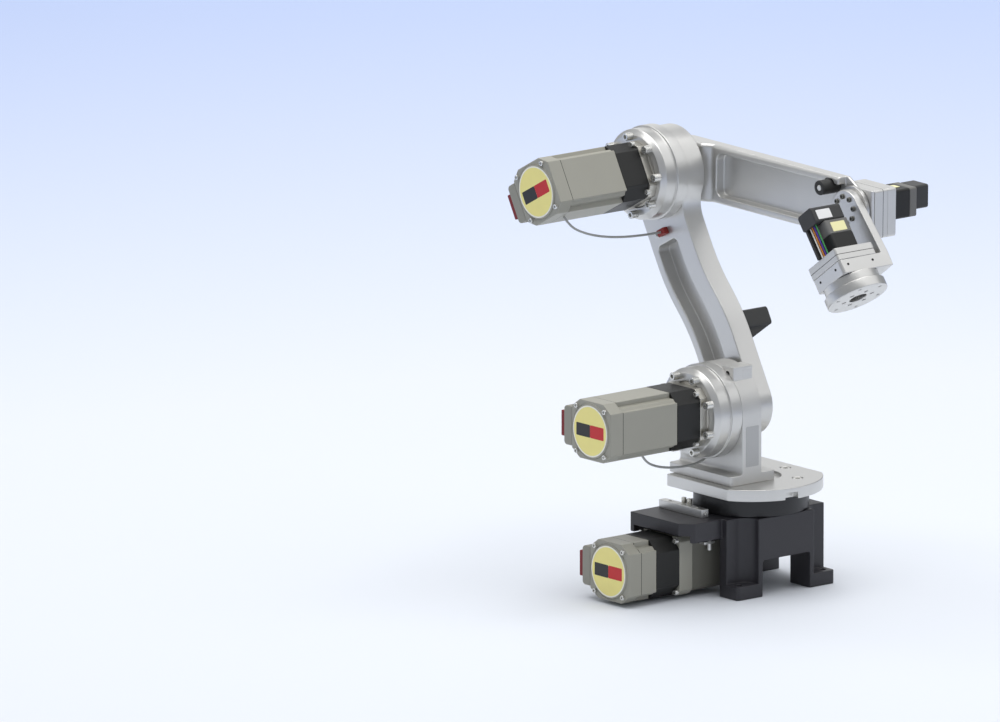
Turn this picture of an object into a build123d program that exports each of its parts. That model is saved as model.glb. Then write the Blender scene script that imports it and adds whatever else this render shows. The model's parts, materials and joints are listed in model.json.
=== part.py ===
from build123d import *
import math
import os

# Five-axis robot arm, bolted to its base by four feet. Millimetres, +Z up.
# The arm reaches forward along +X, and the three large motors stick out along
# -Y. Below, places are counted from the base turning axis at floor level. Each
# piece is written out from the middle of the four foot bolts instead.

# General clearances and cutting overrun
overrun = 4.0
running_gap = 0.4
swing_gap = 5.0

# Pose of the arm as modelled, in degrees from upright, level and straight down
arm_lean = 28.5
forearm_droop = 0.8
wrist_tilt = 36.0

# Base casting: a four-legged block with corner reliefs and a motor hood
base_height = 80.0
base_front = 54.5
base_back = 62.0
base_half_width = 64.0
foot_thick = 14.0
foot_round = 4.0
leg_length = 31.0
leg_web = 5.5
tunnel_height = 37.0
tunnel_round = 3.0
relief_depth = 17.0
relief_width = 27.5
relief_round = 14.0
foot_bolt_inset = 9.0
foot_bolt_dia = 6.6
bay_depth = 33.0
bay_margin = 3.0
bay_front_margin = 13.0
hood_reach = 47.0
hood_front = 30.0
hood_back = 56.0
hood_thick = 20.0
hood_chamfer = 12.0

# Travel stop on the hood: a bar with two upright pins
stop_bar_length = 66.0
stop_bar_depth = 9.0
stop_bar_height = 8.5
stop_bar_back = 51.0
stop_pin_dia = 5.0
stop_pin_height = 13.0
stop_pin_pitch = 8.5
stop_pin_back = 22.0

# Turntable: black ring under a plate that is round in front and square behind
ring_radius = 58.0
ring_height = 19.0
plate_radius = 72.0
plate_thick = 12.0
plate_half_width = 62.5
plate_back = 58.0
plate_corner = 3.0
plate_shoulder_round = 6.0
plate_well_radius = 30.0
plate_well_depth = 3.5
plate_bolt_radius = 48.0
plate_bolt_dia = 6.6
plate_bolt_head_dia = 11.0
plate_bolt_head_depth = 5.0
plate_bolt_angles = (34.0, 94.0, 154.0)
notch_width = 15.0
notch_height = 7.0
notch_depth = 9.0
notch_angle = -6.0

# Shoulder pedestal: foot plate, pillar and round head on the second axis
shoulder_x = -17.0
shoulder_clearance = 21.5
pillar_half_width = 48.0
pillar_thick = 25.0
pillar_far = -13.0
pedestal_foot_thick = 10.0
pedestal_foot_near = 15.0
pedestal_foot_far = 18.0
pedestal_foot_round = 3.0
pedestal_fillet = 3.0
shoulder_stop_length = 18.0
shoulder_stop_offset = 16.0
shoulder_stop_depth = 11.0
shoulder_stop_lid = 4.0

# Joint drive shared by the second and third axis: ring, gear case, motor
drive_ring_depth = 40.0
drive_ring_radius = 46.0
drive_ring_step = 13.0
drive_ring_lip = 2.0
drive_ring_bevel = 5.0
drive_ring_bore_radius = 33.0
drive_ring_face = 9.0
drive_output_radius = 30.0
gear_case_gap = 0.5
motor_size = 60.0
motor_corner = 9.0
stator_corner = 12.0
motor_top_flat = 36.0
motor_side_flat = 43.0
motor_ledge_width = 54.0
motor_ledge_height = 49.0
motor_ledge_cut = 3.0
motor_stator_length = 30.0
motor_housing_length = 71.0
motor_cap_length = 16.0
motor_rim_radius = 28.0
motor_rim_height = 1.5
motor_rim_bevel = 1.0
connector_depth = 12.0
connector_length = 20.0
connector_height = 40.0
connector_round = 4.0
plug_reach = 8.0
plug_height = 26.0
plug_length = 14.0

# Base drive, lying under the hood
base_motor_x = -17.0
base_motor_height = 34.0
base_motor_end = 171.0
base_motor_cap_length = 15.0
base_motor_housing_length = 21.0
base_gear_flange_length = 17.0
base_gear_corner = 5.0
base_gear_waist = 2.0

# Lower arm: an S-shaped link with a pocket on the motor side
lower_length = 250.0
lower_thick = 24.0
lower_head_radius = 45.0
lower_hub_radius = 32.0
lower_back = 46.0
lower_front = 18.0
lower_bend_low_share = 0.344
lower_bend_high_share = 0.568
lower_bend_round_share = 0.75
lower_neck_round = 32.0
lower_pocket_depth = 14.0
lower_pocket_back_wall = 9.0
lower_pocket_front_wall = 23.0
lower_pocket_low_share = 0.176
lower_pocket_high_share = 0.724
lower_pocket_round = 6.0
bumper_low = 69.0
bumper_high = 88.0
bumper_back = 6.0
bumper_front = 29.0
bumper_reach = 34.0
bumper_round = 3.0
bumper_rib_drop = 12.0
bumper_rib_inset = 2.5
clip_gap = 7.0
clip_across = -24.0
clip_length = 12.0
clip_width = 7.0
clip_height = 6.0

# Forearm: a level channel, open towards the motor side
forearm_length = 250.0
forearm_height = 60.0
forearm_thick = 21.0
forearm_step = 7.0
forearm_hub_reach = 33.0
forearm_hub_slope = 10.0
forearm_hub_round = 8.0
forearm_edge_round = 4.0
forearm_wall = 8.0
forearm_floor = 4.0
forearm_pocket_start = 49.0
forearm_pocket_round = 8.0
forearm_mouth = 64.0
forearm_upper_mouth = 15.0
forearm_taper_start = 12.0
forearm_taper_end = 2.0
forearm_clear_radius = 26.0
knob_dia = 15.0
knob_gap = 1.0
knob_length = 23.0
knob_back = 29.0
knob_up = 18.5
knob_insert_dia = 6.0
knob_insert_depth = 1.5

# Rotary drives of the fourth and fifth axis
rotary_size = 50.0
rotary_case_thick = 17.0
rotary_plate_thick = 11.0
rotary_corner = 3.0
rotary_table_radius = 23.0
rotary_neck_radius = 19.0
small_motor_size = 30.0
small_motor_corner = 2.5
pitch_case_drop = 3.5
small_motor_rise = 3.5
small_stator_length = 27.0
small_band_length = 9.0
small_cap_length = 18.0
small_cap_inset = 3.0

# Wrist bracket and the tool drive that it carries
bracket_thick = 9.0
bracket_head_radius = 20.0
bracket_foot_top = 60.0
bracket_foot_thick = 15.0
bracket_foot_round = 4.0
tool_y = -6.0
tool_case_thick = 13.0
tool_motor_forward = 6.0
tool_motor_near = 4.0
tool_stator_length = 17.0
tool_band_length = 15.0
tool_cap_length = 17.5
tool_cap_depth = 24.0
tool_cap_width = 38.0
tool_cap_round = 3.0
tool_cover_thick = 3.0
tool_cover_width = 7.0
tool_cover_back = 3.0
wire_dia = 1.6
wire_pitch = 3.2
wire_count = 4
wire_inset = 3.0

# Tool flange
table_height = 9.0
table_radius = 29.0
flange_height = 10.0
flange_radius = 32.0
flange_bore_radius = 9.0
flange_bolt_radius = 15.0
flange_bolt_dia = 4.2
flange_bolt_count = 6
flange_outer_bolt_radius = 26.0
flange_outer_bolt_dia = 3.4
flange_bolt_depth = 8.0

# Leads of the shoulder and elbow motors
lead_dia = 2.4
lead_bend_share = 0.45
shoulder_lead_points = (
    (-17.0, -131.0, 150.5),
    (-17.0, -126.0, 140.0),
    (-17.0, -110.0, 132.0),
    (-17.0, -90.0, 128.0),
    (-17.0, -70.0, 127.0),
    (-17.0, -54.0, 128.2),
    (-17.0, -45.0, 132.3),
)
elbow_lead_points = (
    (0.0, -142.0, -30.0),
    (-2.0, -137.0, -40.0),
    (-6.0, -120.0, -48.0),
    (-10.0, -100.0, -53.0),
    (-13.0, -80.0, -56.0),
    (-15.5, -60.0, -57.6),
    (-17.0, -42.0, -58.3),
    (-17.8, -27.0, -58.6),
    (-18.0, -14.0, -58.5),
)

# Levels and planes that follow from the sizes above
base_shift = (base_back - base_front) / 2
bay_end = -base_half_width + bay_depth
stop_pin_y = -ring_radius - swing_gap - running_gap - stop_pin_dia / 2
relief_edge = base_half_width - relief_width
tunnel_half = relief_edge - leg_web
hood_end = -base_half_width - hood_reach
hood_top = base_height
ring_foot = base_height + running_gap
ring_top = base_height + ring_height
plate_top = ring_top + plate_thick
pedestal_foot_top = plate_top + pedestal_foot_thick
shoulder_height = plate_top + shoulder_clearance + drive_ring_lip + drive_ring_radius
pillar_near = pillar_far - pillar_thick
lower_near = pillar_far + swing_gap
lower_far = lower_near + lower_thick
forearm_near = lower_far + swing_gap
forearm_far = forearm_near + forearm_thick
forearm_floor_face = forearm_far - forearm_floor
channel_near = forearm_near + forearm_step
forearm_end = rotary_size / 2
bracket_far = forearm_floor_face - swing_gap
bracket_near = bracket_far - bracket_thick
foot_bottom = bracket_foot_top + bracket_foot_thick
tool_case_top = tool_case_thick - bracket_foot_top
tool_cap_foot = tool_case_top + tool_stator_length + tool_band_length
tool_motor_y = tool_y - tool_motor_near
motor_half = motor_size / 2
lower_bend_low = lower_length * lower_bend_low_share
lower_bend_high = lower_length * lower_bend_high_share
lower_bend_round = lower_length * lower_bend_round_share
clip_low = -drive_ring_radius - drive_ring_lip - clip_gap - clip_width

# Joint centres in the XZ plane
lean = math.radians(arm_lean)
droop = math.radians(forearm_droop)
elbow_x = shoulder_x - lower_length * math.sin(lean)
elbow_height = shoulder_height + lower_length * math.cos(lean)
wrist_x = elbow_x + forearm_length * math.cos(droop)
wrist_height = elbow_height - forearm_length * math.sin(droop)

# Frames of the moving links: the lower arm stands on local +Z, the forearm
# lies on local +X, and the tool points down local -Z
shoulder_frame = Pos(shoulder_x, 0, shoulder_height)
lower_frame = shoulder_frame * Rot(0, -arm_lean, 0)
elbow_frame = lower_frame * Pos(0, 0, lower_length)
forearm_frame = Pos(elbow_x, 0, elbow_height) * Rot(0, forearm_droop, 0)
wrist_frame = Pos(wrist_x, 0, wrist_height) * Rot(0, -wrist_tilt, 0)
knob_place = Pos(forearm_length - knob_back, 0, knob_up)


def block(x_span, y_span, z_span):
    """Box between two places on each axis."""
    size = [span[1] - span[0] for span in (x_span, y_span, z_span)]
    middle = [(span[0] + span[1]) / 2 for span in (x_span, y_span, z_span)]
    return Pos(*middle) * Box(*size)


def across(profile, near, far):
    """Carry a profile drawn in X and Z along Y, from near to far."""
    return extrude(Plane.XZ.offset(-far) * profile, amount=far - near)


def sideways(profile, back, front):
    """Carry a profile drawn in Y and Z along X, from back to front."""
    return extrude(Plane.YZ.offset(back) * profile, amount=front - back)


def upward(profile, low, high):
    """Carry a profile drawn in X and Y up from low to high."""
    return extrude(Pos(0, 0, low) * profile, amount=high - low)


def turned(radius, near, far):
    """Round disc about the Y axis."""
    return across(Circle(radius), near, far)


def post(radius, low, high):
    """Round post about the Z axis."""
    return upward(Circle(radius), low, high)


def cut_square(size, corner):
    """Square with cut corners."""
    return chamfer(Rectangle(size, size).vertices(), corner)


def round_square(size, corner):
    """Square with round corners."""
    return RectangleRounded(size, size, corner)


def save(shape, name):
    """Write one piece under its own name, from the middle of the foot bolts."""
    export_step(Pos(base_shift, 0, 0) * shape, os.path.join("parts", name + ".step"))


def make_base_casting():
    """Four-legged block, corner reliefs over the feet, motor bay and hood."""
    body = block((-base_back, base_front), (-base_half_width, base_half_width), (0, base_height))
    body = fillet(body.edges().filter_by(Axis.Z), foot_round)
    for corner_x, way_x in ((base_front, 1), (-base_back, -1)):
        for way_y in (1, -1):
            relief = upward(
                Rectangle(2 * relief_depth, 2 * relief_width), foot_thick, base_height + overrun
            )
            relief = fillet(relief.edges().filter_by(Axis.Z), relief_round)
            body -= Pos(corner_x, way_y * base_half_width, 0) * relief
            hole = post(foot_bolt_dia / 2, -overrun, foot_thick + overrun)
            hole_x = corner_x - way_x * foot_bolt_inset
            body -= Pos(hole_x, way_y * (base_half_width - foot_bolt_inset), 0) * hole
    hood = upward(
        Pos((hood_front - hood_back) / 2, (hood_end - relief_edge) / 2)
        * Rectangle(hood_front + hood_back, -hood_end - relief_edge),
        hood_top - hood_thick,
        hood_top,
    )
    outer = hood.edges().filter_by(Axis.Z).group_by(Axis.Y)[0].sort_by(Axis.X)[-1]
    body += chamfer(outer, hood_chamfer)
    tunnel = block(
        (-base_back - overrun, base_front + overrun),
        (-tunnel_half, tunnel_half),
        (-overrun, tunnel_height),
    )
    body -= fillet(tunnel.edges().filter_by(Axis.X).group_by(Axis.Z)[-1], tunnel_round)
    cross = block(
        (leg_length - base_back, base_front - leg_length),
        (bay_end, base_half_width + overrun),
        (-overrun, tunnel_height),
    )
    body -= fillet(cross.edges().filter_by(Axis.Y).group_by(Axis.Z)[-1], tunnel_round)
    bay_back = base_motor_x - motor_half - bay_margin
    bay_front = base_motor_x + motor_half + bay_front_margin
    bay_top = base_motor_height + motor_half + bay_margin
    return body - block((bay_back, bay_front), (hood_end - overrun, bay_end), (-overrun, bay_top))


def make_stop_bar():
    """Bar across the hood behind the stop pin."""
    far = stop_pin_y - stop_pin_dia / 2 - running_gap
    return block(
        (-stop_bar_back, stop_bar_length - stop_bar_back),
        (far - stop_bar_depth, far),
        (hood_top, hood_top + stop_bar_height),
    )


def make_stop_pins():
    """Two upright pins between the bar and the turntable."""
    pin = post(stop_pin_dia / 2, hood_top, hood_top + stop_pin_height)
    places = [-stop_pin_back - stop_pin_pitch / 2, -stop_pin_back + stop_pin_pitch / 2]
    return Compound(children=[Pos(place, stop_pin_y, 0) * pin for place in places])


def make_turntable_ring():
    """Black ring that turns on top of the base."""
    return post(ring_radius, ring_foot, ring_top)


def make_turntable_plate():
    """Round plate with a square back, bolt seats and a notch in its rim."""
    plate = upward(Circle(plate_radius), ring_top, plate_top)
    back = block((-plate_back, 0), (-plate_half_width, plate_half_width), (ring_top, plate_top))
    plate += fillet(back.edges().filter_by(Axis.Z).group_by(Axis.X)[0], plate_corner)
    side = plate_radius - plate_half_width
    for way in (1, -1):
        middle = way * (plate_half_width + side / 2)
        plate -= block(
            (-plate_radius, plate_radius),
            (middle - side / 2, middle + side / 2),
            (ring_top - overrun, plate_top + overrun),
        )
    shoulders = plate.edges().filter_by(Axis.Z).group_by(Axis.X)[-1]
    plate = fillet(shoulders, plate_shoulder_round)
    plate -= post(plate_well_radius, plate_top - plate_well_depth, plate_top + overrun)
    for angle in plate_bolt_angles:
        seat = post(plate_bolt_dia / 2, ring_top - overrun, plate_top + overrun)
        seat += post(plate_bolt_head_dia / 2, plate_top - plate_bolt_head_depth, plate_top + overrun)
        plate -= Rot(0, 0, angle) * Pos(plate_bolt_radius, 0, 0) * seat
    notch = block(
        (plate_radius - notch_depth, plate_radius + overrun),
        (-notch_width / 2, notch_width / 2),
        (ring_top - overrun, ring_top + notch_height),
    )
    return plate - Rot(0, 0, notch_angle) * notch


def make_pedestal():
    """Foot plate and upright pillar with a round head, in one piece."""
    rise = shoulder_height - pedestal_foot_top
    profile = Pos(0, -rise / 2) * Rectangle(2 * pillar_half_width, rise) + Circle(pillar_half_width)
    pillar = shoulder_frame * across(profile, pillar_near, pillar_far)
    foot = block(
        (shoulder_x - pillar_half_width, shoulder_x + pillar_half_width),
        (pillar_near - pedestal_foot_near, pillar_far + pedestal_foot_far),
        (plate_top, pedestal_foot_top),
    )
    foot = fillet(foot.edges().filter_by(Axis.Z), pedestal_foot_round)
    pedestal = foot + pillar
    inner = [
        edge
        for edge in pedestal.edges().filter_by(Axis.X)
        if abs(edge.center().Z - pedestal_foot_top) < running_gap
        and abs(edge.center().Y - pillar_near) < running_gap
    ]
    pedestal = fillet(inner, pedestal_fillet)
    bore = turned(drive_output_radius + running_gap, pillar_near - overrun, pillar_far + overrun)
    return pedestal - shoulder_frame * bore


def make_shoulder_stop():
    """Small block on the shoulder of the pillar, with a lid across the pillar."""
    back = shoulder_x + shoulder_stop_offset
    front = back + shoulder_stop_length
    top = shoulder_height + pillar_half_width
    low = shoulder_height + math.sqrt(pillar_half_width**2 - (front - shoulder_x) ** 2)
    stop = block((back, front), (pillar_near, pillar_near + shoulder_stop_depth), (low, top))
    stop += block((back, front), (pillar_near, pillar_far), (top - shoulder_stop_lid, top))
    head = shoulder_frame * turned(pillar_half_width, pillar_near - overrun, pillar_far + overrun)
    return stop - head


def make_drive_ring():
    """Stepped ring with a bevelled step and a sunk bolting face, about Y."""
    ring = turned(drive_ring_radius + drive_ring_lip, -drive_ring_step, 0)
    front = turned(drive_ring_radius, -drive_ring_depth + drive_ring_face, -drive_ring_step)
    front = chamfer(front.edges().group_by(Axis.Y)[0], drive_ring_bevel)
    ring += front
    return ring - turned(drive_ring_bore_radius, -drive_ring_depth - overrun, overrun)


def make_gear_case():
    """Round gear case in the ring, with a square flange for the motor."""
    flange_near = -drive_ring_depth
    case = turned(drive_ring_bore_radius - gear_case_gap, flange_near + drive_ring_face, 0)
    case += across(cut_square(motor_size, motor_corner), flange_near, flange_near + drive_ring_face)
    return case


def make_stator(far):
    """Black stack of plates with cut corners, ending at far."""
    return across(cut_square(motor_size, stator_corner), far - motor_stator_length, far)


def stepped_square():
    """Square section whose corners step in twice, as on a cast housing."""
    wide = Rectangle(motor_size, motor_side_flat)
    tall = Rectangle(motor_top_flat, motor_size)
    ledge = Rectangle(motor_ledge_width, motor_ledge_height)
    return wide + tall + chamfer(ledge.vertices(), motor_ledge_cut)


def cap_outline():
    """Eight-sided outline that joins the flats of the cast housing."""
    top = motor_top_flat / 2
    side = motor_side_flat / 2
    outline = Polyline(
        (top, motor_half),
        (motor_half, side),
        (motor_half, -side),
        (top, -motor_half),
        (-top, -motor_half),
        (-motor_half, -side),
        (-motor_half, side),
        (-top, motor_half),
        close=True,
    )
    return make_face(outline)


def make_motor_housing(far, length, cap_length):
    """Cast housing, its end cap with cut corners and a raised round rim."""
    near = far - length
    end = near - cap_length
    housing = across(stepped_square(), near, far)
    housing += across(cap_outline(), end, near)
    rim = turned(motor_rim_radius, end - motor_rim_height, end)
    return housing + chamfer(rim.edges().group_by(Axis.Y)[0], motor_rim_bevel)


def make_connector(cap_near):
    """Socket box on the side of the end cap, with the plug in it."""
    box = block(
        (-motor_half - connector_depth, -motor_half),
        (cap_near, cap_near + connector_length),
        (-connector_height / 2, connector_height / 2),
    )
    outer = box.edges().filter_by(Axis.Y).group_by(Axis.X)[0]
    box = fillet(outer, connector_round)
    middle = cap_near + connector_length / 2
    plug = block(
        (-motor_half - connector_depth - plug_reach, -motor_half - connector_depth),
        (middle - plug_length / 2, middle + plug_length / 2),
        (-plug_height / 2, plug_height / 2),
    )
    return box + plug


def make_base_gear_case(far):
    """Right-angle gear case: square flange, slim waist and round-edged box."""
    flange_near = far - base_gear_flange_length
    flange = across(cut_square(motor_size, base_gear_corner), flange_near, far)
    waist = motor_size - 2 * base_gear_waist
    return flange + across(round_square(waist, base_gear_corner), far, bay_end)


def lower_outline():
    """S-shaped side of the lower arm, from the hub up to the round head."""
    side = FilletPolyline(
        (lower_hub_radius, 0),
        (lower_hub_radius, lower_bend_low),
        (lower_front, lower_bend_high),
        (lower_front, lower_length),
        (-lower_back, lower_length),
        (-lower_back, lower_bend_high),
        (-lower_hub_radius, lower_bend_low),
        (-lower_hub_radius, 0),
        radius=[0, lower_bend_round, lower_bend_round, 0, 0, lower_bend_round, lower_bend_round, 0],
        close=True,
    )
    return make_face(side)


def make_lower_arm():
    """Link with a round head, a hub, a pocket and a bore for the elbow drive."""
    outline = lower_outline() + Circle(lower_hub_radius) + Pos(0, lower_length) * Circle(lower_head_radius)
    neck_height = lower_length - math.sqrt(lower_head_radius**2 - lower_front**2)
    neck = outline.vertices().sort_by_distance((lower_front, neck_height))[0]
    outline = fillet(neck, lower_neck_round)
    arm = across(outline, lower_near, lower_far)
    arm -= make_lower_pocket()
    bore = turned(drive_output_radius + running_gap, lower_near - overrun, lower_far + overrun)
    arm -= Pos(0, 0, lower_length) * bore
    return arm + turned(drive_output_radius, pillar_near + running_gap, lower_near)


def make_lower_pocket():
    """Long pocket that follows both sides of the link."""
    low_back = lower_pocket_back_wall - lower_hub_radius
    low_front = lower_hub_radius - lower_pocket_front_wall
    high_back = lower_pocket_back_wall - lower_back
    high_front = lower_front - lower_pocket_front_wall
    low = lower_length * lower_pocket_low_share
    high = lower_length * lower_pocket_high_share
    corner = lower_pocket_round
    outline = FilletPolyline(
        (low_back, low),
        (low_back, lower_bend_low),
        (high_back, lower_bend_high),
        (high_back, high),
        (high_front, high),
        (high_front, lower_bend_high),
        (low_front, lower_bend_low),
        (low_front, low),
        radius=[corner, lower_bend_round, lower_bend_round, corner] * 2,
        close=True,
    )
    return across(make_face(outline), lower_near - overrun, lower_near + lower_pocket_depth)


def make_bumper():
    """Black rubber block on the far face of the lower arm, with a rib below."""
    far = lower_far + bumper_reach
    bumper = block((bumper_back, bumper_front), (lower_far, far), (bumper_low, bumper_high))
    bumper = fillet(bumper.edges().group_by(Axis.Y)[-1], bumper_round)
    outline = Polyline(
        (lower_far, bumper_low - bumper_rib_drop),
        (far - bumper_round, bumper_low),
        (lower_far, bumper_low),
        close=True,
    )
    return bumper + sideways(make_face(outline), bumper_back + bumper_rib_inset, bumper_front - bumper_rib_inset)


def make_clip():
    """Connector of the elbow lead, on the near face of the lower arm."""
    clip = block((0, clip_length), (lower_near - clip_height, lower_near), (0, clip_width))
    return Pos(clip_across, 0, clip_low) * clip


def forearm_side():
    """Side of the forearm: round hub, level bar and a lower end for the drive."""
    half = forearm_height / 2
    top = rotary_size / 2 - pitch_case_drop
    bottom = -rotary_size / 2 - pitch_case_drop
    outline = Polyline(
        (0, half),
        (forearm_length - forearm_taper_start, half),
        (forearm_length + forearm_taper_end, top),
        (forearm_length + forearm_end, top),
        (forearm_length + forearm_end, bottom),
        (forearm_length + forearm_taper_end, bottom),
        (forearm_length - forearm_taper_start, -half),
        (0, -half),
        close=True,
    )
    return make_face(outline) + Circle(half)


def forearm_plan():
    """Forearm from above: thick at the hub, easing back to the channel."""
    back = -forearm_height / 2
    slope_end = forearm_hub_reach + forearm_hub_slope
    outline = FilletPolyline(
        (back, forearm_near),
        (forearm_hub_reach, forearm_near),
        (slope_end, channel_near),
        (forearm_length + forearm_end, channel_near),
        (forearm_length + forearm_end, forearm_far),
        (back, forearm_far),
        radius=[0, forearm_hub_round, forearm_hub_round, 0, 0, 0],
        close=True,
    )
    return make_face(outline)


def make_forearm():
    """Channel with a round hub, open in front and cut clear round the wrist."""
    half = forearm_height / 2
    arm = across(forearm_side(), forearm_near, forearm_far)
    arm &= upward(forearm_plan(), -half - overrun, half + overrun)
    rims = [
        edge
        for edge in arm.edges()
        if edge.center().Y < channel_near + running_gap
        and edge.center().X < forearm_length - forearm_taper_start
        and abs(edge.center().Z) > half - running_gap
    ]
    arm = fillet(rims, forearm_edge_round)
    pocket_end = forearm_length + forearm_end + overrun
    pocket = Pos((forearm_pocket_start + pocket_end) / 2, 0) * Rectangle(
        pocket_end - forearm_pocket_start, forearm_height - 2 * forearm_wall
    )
    pocket = fillet(pocket.vertices().group_by(Axis.X)[0], forearm_pocket_round)
    arm -= across(pocket, forearm_near - overrun, forearm_floor_face)
    front = (forearm_near - overrun, forearm_floor_face)
    arm -= block((forearm_length - forearm_mouth, pocket_end), front, (-half - overrun, 0))
    arm -= block((forearm_length - forearm_upper_mouth, pocket_end), front, (0, half + overrun))
    arm -= knob_place * turned(knob_dia / 2 + knob_gap, *front)
    wrist = Pos(forearm_length, 0, 0)
    arm -= wrist * turned(forearm_clear_radius, *front)
    arm -= wrist * turned(rotary_neck_radius + running_gap, forearm_near, forearm_far + overrun)
    return arm + turned(drive_output_radius, lower_near + running_gap, forearm_near)


def make_knob():
    """Rubber stop with a steel insert, standing on the channel floor."""
    near = forearm_floor_face - knob_length
    knob = turned(knob_dia / 2, near, forearm_floor_face)
    knob -= turned(knob_insert_dia / 2, near - overrun, near + knob_insert_depth)
    return knob_place * knob


def rotary_layer(low, high):
    """One square layer of a rotary drive, which stands on its output face."""
    return upward(round_square(rotary_size, rotary_corner), low, high)


def small_motor_layer(low, high, inset):
    """One section of a small motor."""
    return upward(round_square(small_motor_size - 2 * inset, small_motor_corner), low, high)


def make_pitch_table():
    """Output disc of the wrist drive, on its neck through the channel floor."""
    disc = turned(rotary_table_radius, bracket_far, forearm_floor_face - running_gap)
    return disc + turned(rotary_neck_radius, bracket_far, forearm_far - running_gap)


def make_bracket():
    """L-shaped bracket: upright plate on the disc, foot under the tool drive."""
    half = rotary_size / 2
    plate = Circle(bracket_head_radius) + make_face(
        Polyline(
            (-bracket_head_radius, 0),
            (bracket_head_radius, 0),
            (half, -bracket_foot_top),
            (half, -foot_bottom),
            (-half, -foot_bottom),
            (-half, -bracket_foot_top),
            close=True,
        )
    )
    bracket = across(plate, bracket_near, bracket_far)
    foot = block((-half, half), (tool_y - half, bracket_far), (-foot_bottom, -bracket_foot_top))
    near_edges = foot.edges().filter_by(Axis.Z).group_by(Axis.Y)[0]
    bracket += fillet(near_edges, bracket_foot_round)
    hole = post(table_radius - swing_gap + running_gap, -foot_bottom - overrun, -bracket_foot_top + overrun)
    return bracket - Pos(0, tool_y, 0) * hole


def make_tool_table():
    """Hollow output table of the tool drive, through the bracket's foot."""
    neck = post(table_radius - swing_gap, -foot_bottom - running_gap, -bracket_foot_top - running_gap)
    table = post(table_radius, -foot_bottom - running_gap - table_height, -foot_bottom - running_gap)
    bore = post(flange_bore_radius, -foot_bottom - table_height - overrun, -bracket_foot_top + overrun)
    return Pos(0, tool_y, 0) * (neck + table - bore)


def make_tool_flange():
    """Round flange with a centre hole and two rings of bolt holes."""
    top = -foot_bottom - running_gap - table_height
    face = top - flange_height
    flange = post(flange_radius, face, top)
    flange -= post(flange_bore_radius, face - overrun, top + overrun)
    pitch = 360 / flange_bolt_count
    for index in range(flange_bolt_count):
        inner = post(flange_bolt_dia / 2, face - overrun, face + flange_bolt_depth)
        flange -= Rot(0, 0, index * pitch) * Pos(flange_bolt_radius, 0, 0) * inner
        outer = post(flange_outer_bolt_dia / 2, face - overrun, face + flange_bolt_depth)
        flange -= Rot(0, 0, (index + 1 / 2) * pitch) * Pos(flange_outer_bolt_radius, 0, 0) * outer
    return Pos(0, tool_y, 0) * flange


def make_lead(points):
    """Tube along straight runs joined by arcs as wide as the runs allow."""
    places = [Vector(*point) for point in points]
    radii = []
    for before, here, after in zip(places, places[1:], places[2:]):
        turn = math.radians((here - before).get_angle(after - here))
        run = min((here - before).length, (after - here).length)
        radii.append(lead_bend_share * run / math.tan(turn / 2))
    path = FilletPolyline(*places, radius=radii)
    section = Plane(origin=path @ 0, z_dir=path % 0) * Circle(lead_dia / 2)
    return sweep(section, path=path)


def make_tool_cap():
    """Connector cap on top of the tool motor, overhanging on the near side."""
    far = tool_motor_y + small_motor_size / 2
    cap = block(
        (tool_motor_forward - tool_cap_depth / 2, tool_motor_forward + tool_cap_depth / 2),
        (far - tool_cap_width, far),
        (tool_cap_foot, tool_cap_foot + tool_cap_length),
    )
    return fillet(cap.edges().filter_by(Axis.Y), tool_cap_round)


def make_tool_cover():
    """Flat strip that guards the wires behind, from the cap to the case."""
    near = tool_motor_y + small_motor_size / 2 - tool_cap_width
    back = tool_motor_forward - tool_cap_depth / 2 + tool_cover_back
    return block(
        (back, back + tool_cover_thick), (near, near + tool_cover_width), (tool_case_top, tool_cap_foot)
    )


def make_tool_wires():
    """Row of thin wires from the cap down into the case."""
    near = tool_motor_y + small_motor_size / 2 - tool_cap_width
    wire = post(wire_dia / 2, tool_case_top, tool_cap_foot)
    first = tool_motor_forward - wire_pitch
    places = [first + index * wire_pitch for index in range(wire_count)]
    return Compound(children=[Pos(place, near + wire_inset, 0) * wire for place in places])


def save_drive(name, frame):
    """Write the ring, gear case and motor of one large joint drive."""
    stator_far = -drive_ring_depth
    housing_far = stator_far - motor_stator_length
    cap_near = housing_far - motor_housing_length - motor_cap_length
    save(frame * make_drive_ring(), name + "_drive_ring")
    save(frame * make_gear_case(), name + "_gear_case")
    save(frame * make_stator(stator_far), name + "_motor_stator")
    housing = make_motor_housing(housing_far, motor_housing_length, motor_cap_length)
    save(frame * housing, name + "_motor_housing")
    save(frame * make_connector(cap_near), name + "_motor_connector")


def save_base():
    """Write the fixed pieces: casting, stop and base drive."""
    save(make_base_casting(), "base_casting")
    save(make_stop_bar(), "base_stop_bar")
    save(make_stop_pins(), "base_stop_pins")
    frame = Pos(base_motor_x, 0, base_motor_height)
    housing_far = base_motor_housing_length + base_motor_cap_length - base_motor_end
    stator_far = housing_far + motor_stator_length
    gear_far = stator_far + base_gear_flange_length
    save(frame * make_base_gear_case(gear_far), "base_gear_case")
    save(frame * make_stator(stator_far), "base_motor_stator")
    housing = make_motor_housing(housing_far, base_motor_housing_length, base_motor_cap_length)
    save(frame * housing, "base_motor_housing")
    save(frame * make_connector(-base_motor_end), "base_motor_connector")


def save_turret():
    """Write what turns with the turntable."""
    save(make_turntable_ring(), "turntable_ring")
    save(make_turntable_plate(), "turntable_plate")
    save(make_pedestal(), "shoulder_pedestal")
    save(make_shoulder_stop(), "shoulder_stop")
    save_drive("shoulder", shoulder_frame * Pos(0, pillar_near, 0))
    save(make_lead(shoulder_lead_points), "shoulder_lead")


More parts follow.
